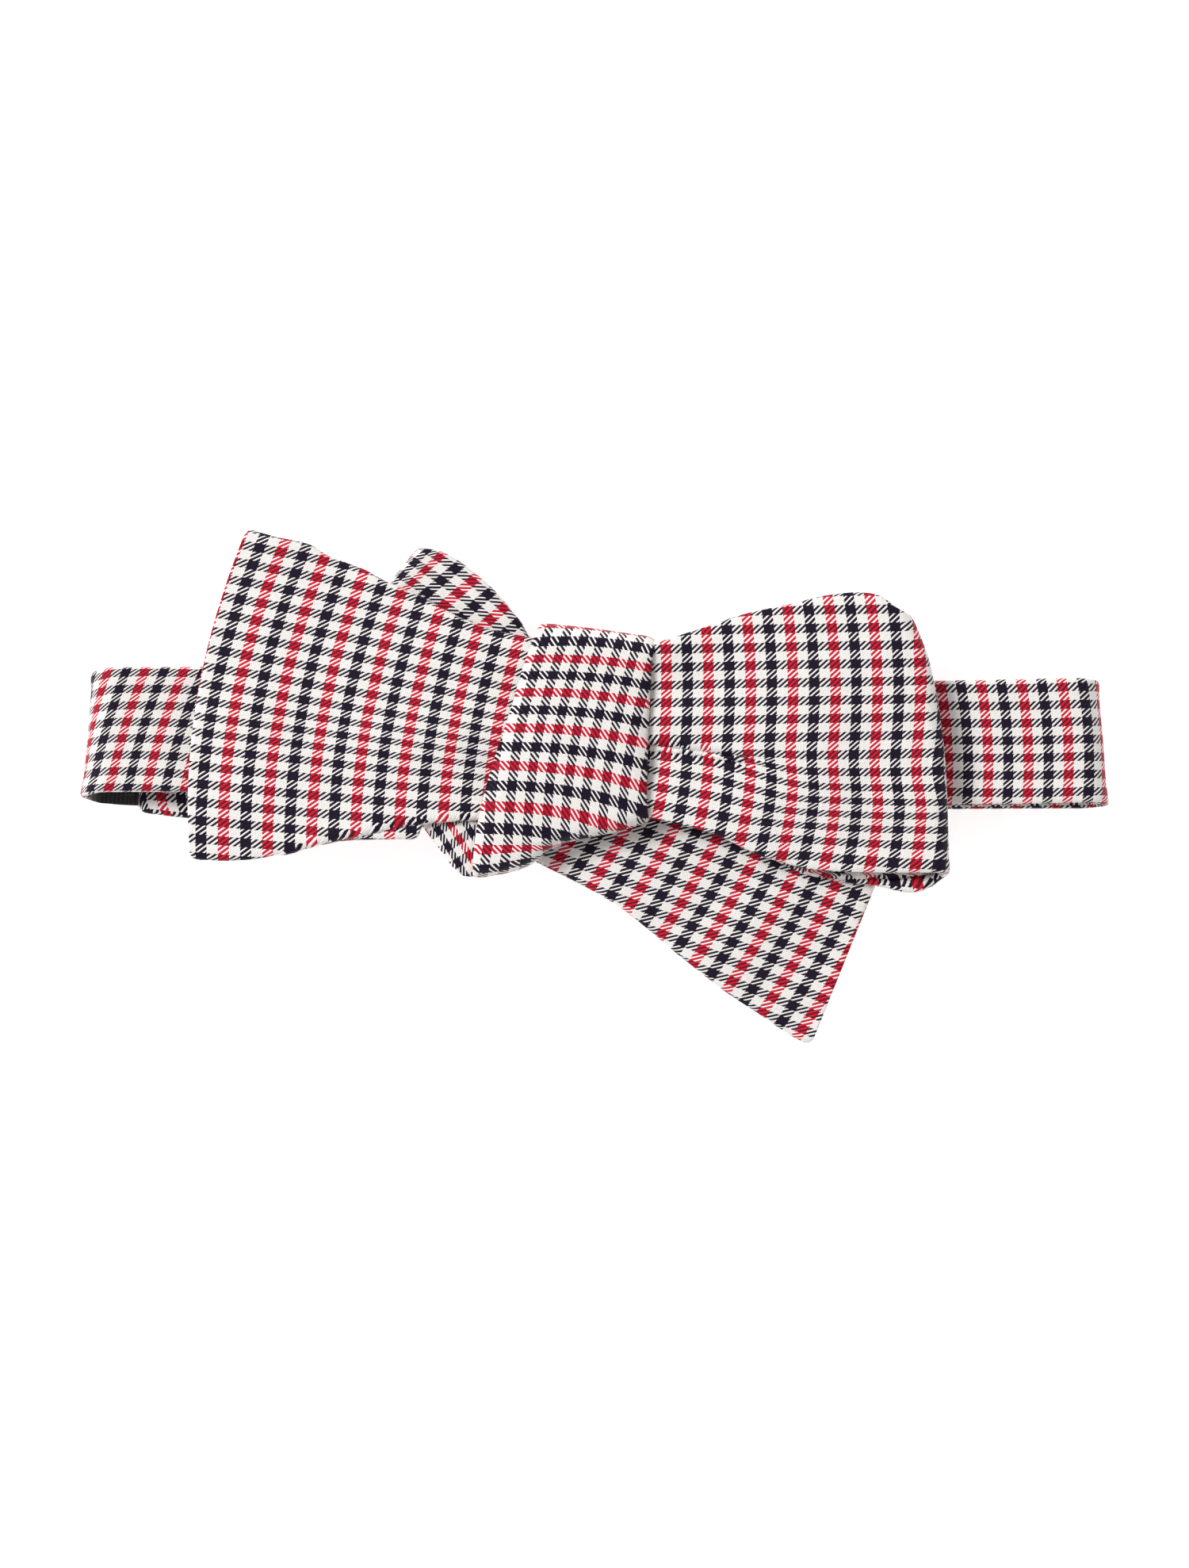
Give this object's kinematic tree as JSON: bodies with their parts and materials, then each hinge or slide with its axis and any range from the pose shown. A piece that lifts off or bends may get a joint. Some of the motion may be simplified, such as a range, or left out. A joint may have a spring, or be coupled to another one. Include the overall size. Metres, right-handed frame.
{
  "type": "bow tie",
  "caption": "Self-tied bow tie lying flat: two checked blades and two loops round a wrapped knot, on a folded neckband with a slotted size tape and T hook.",
  "frame": {"origin": "centre of the footprint, on the surface the tie lies on", "axes": "+X along the neckband towards the front loop, +Y towards the upper edge of the bow, +Z out of the front of the knot, away from the wearer's neck"},
  "size_m": [0.1876, 0.0938, 0.0208],
  "materials": {
    "silk": "fine two-and-one twill silk in an ivory, red and navy check",
    "interlining": "brushed cotton interlining",
    "size_tape": "black grosgrain tape",
    "thread": "polyester sewing thread",
    "hook_metal": "nickel-plated wire",
    "keeper_ribbon": "narrow black ribbon"
  },
  "bodies": {
    "bow": {"front_blade": "silk", "front_bow_interlining": "interlining", "front_loop_face": "silk", "front_loop_fold": "silk", "front_loop_return": "silk", "hook_keeper": "keeper_ribbon", "hook_strap": "silk", "hook_strap_interlining": "interlining", "keeper_bar_tacks": "thread", "knot_interlining": "interlining", "knot_wrap": "silk", "left_fold_interlining": "interlining", "neckband_left": "silk", "neckband_left_fold": "silk", "neckband_left_interlining": "interlining", "neckband_right": "silk", "neckband_right_fold": "silk", "neckband_right_interlining": "interlining", "rear_blade": "silk", "rear_bow_interlining": "interlining", "rear_loop": "silk", "rear_loop_fold": "silk", "right_fold_interlining": "interlining"},
    "tape_strap": {"tape_strap": "silk", "tape_strap_interlining": "interlining", "size_tape": "size_tape", "size_tape_stitching": "thread"},
    "t_hook": {"t_hook": "hook_metal"}
  },
  "joints": [
    {"name": "tape_strap_opening", "type": "hinge", "parent": "bow", "child": "tape_strap", "pos_m": [-0.0938, 0.0078, 0.0055], "axis": [0, 1, 0], "range_deg": [0, 170], "deforming": ["neckband_left_fold", "left_fold_interlining"]},
    {"name": "hook_swivel", "type": "hinge", "parent": "bow", "child": "t_hook", "pos_m": [-0.0838, 0.007, 0.0032], "axis": [0, 1, 0], "range_deg": [0, 45]}
  ]
}
